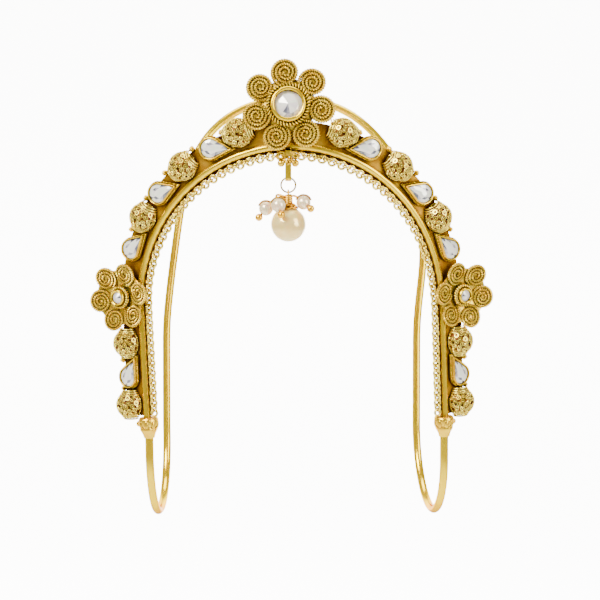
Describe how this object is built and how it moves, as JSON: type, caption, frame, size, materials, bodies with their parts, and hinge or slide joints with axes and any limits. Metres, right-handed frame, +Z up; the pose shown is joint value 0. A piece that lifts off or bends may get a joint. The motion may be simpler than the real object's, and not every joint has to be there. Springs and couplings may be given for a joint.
{
  "type": "bajuband armlet",
  "caption": "Upper-arm armlet: an arched gold band with flowers, pierced domes and set stones on a spring wire that passes behind the arm, with a pearl drop under the arch.",
  "frame": {"origin": "on the arm's axis, at the height of the front arch's shoulders, where the arm fills the armlet", "axes": "+Z up along the upper arm, front arch facing -Y, X across the arch from its left leg to its right leg as seen from the front"},
  "size_m": [0.1014, 0.0738, 0.1182],
  "materials": {
    "antique_gold": "satin antique gold with reddish-brown oxidised recesses",
    "polished_gold": "polished yellow gold",
    "bright_gold": "bright yellow gold, darker between the links and turns",
    "clear_stone": "clear faceted crystal over foil",
    "champagne_pearl": "champagne pearl lustre",
    "white_pearl": "pinkish-white pearl lustre"
  },
  "bodies": {
    "armlet": {"front_band": "antique_gold", "back_wire": "polished_gold", "cap_left": "antique_gold", "cap_right": "antique_gold", "chain_lace": "bright_gold", "top_flower": "antique_gold", "top_stone": "clear_stone", "flower_left": "antique_gold", "flower_right": "antique_gold", "flower_stone_left": "clear_stone", "flower_stone_right": "clear_stone", "bail": "polished_gold", "dome_left_1": "antique_gold", "dome_left_2": "antique_gold", "dome_left_3": "antique_gold", "dome_left_4": "antique_gold", "dome_left_5": "antique_gold", "dome_right_1": "antique_gold", "dome_right_2": "antique_gold", "dome_right_3": "antique_gold", "dome_right_4": "antique_gold", "dome_right_5": "antique_gold", "pear_setting_left_1": "antique_gold", "pear_setting_left_2": "antique_gold", "pear_setting_left_3": "antique_gold", "pear_setting_left_4": "antique_gold", "pear_setting_right_1": "antique_gold", "pear_setting_right_2": "antique_gold", "pear_setting_right_3": "antique_gold", "pear_setting_right_4": "antique_gold", "pear_stone_left_1": "clear_stone", "pear_stone_left_2": "clear_stone", "pear_stone_left_3": "clear_stone", "pear_stone_left_4": "clear_stone", "pear_stone_right_1": "clear_stone", "pear_stone_right_2": "clear_stone", "pear_stone_right_3": "clear_stone", "pear_stone_right_4": "clear_stone"},
    "ring": {"jump_ring": "polished_gold"},
    "drop": {"pearl_wrap": "bright_gold", "main_pearl": "champagne_pearl", "small_pearl_1": "white_pearl", "small_pearl_2": "white_pearl", "small_pearl_3": "white_pearl"}
  },
  "joints": [
    {"name": "ring_swing", "type": "hinge", "parent": "armlet", "child": "ring", "pos_m": [-0.0005, -0.03089, 0.03294], "axis": [1, 0, 0], "range_deg": [-60, 60]},
    {"name": "drop_sway", "type": "hinge", "parent": "ring", "child": "drop", "pos_m": [-0.0005, -0.03089, 0.0312], "axis": [0, 1, 0], "range_deg": [-45, 45]}
  ]
}
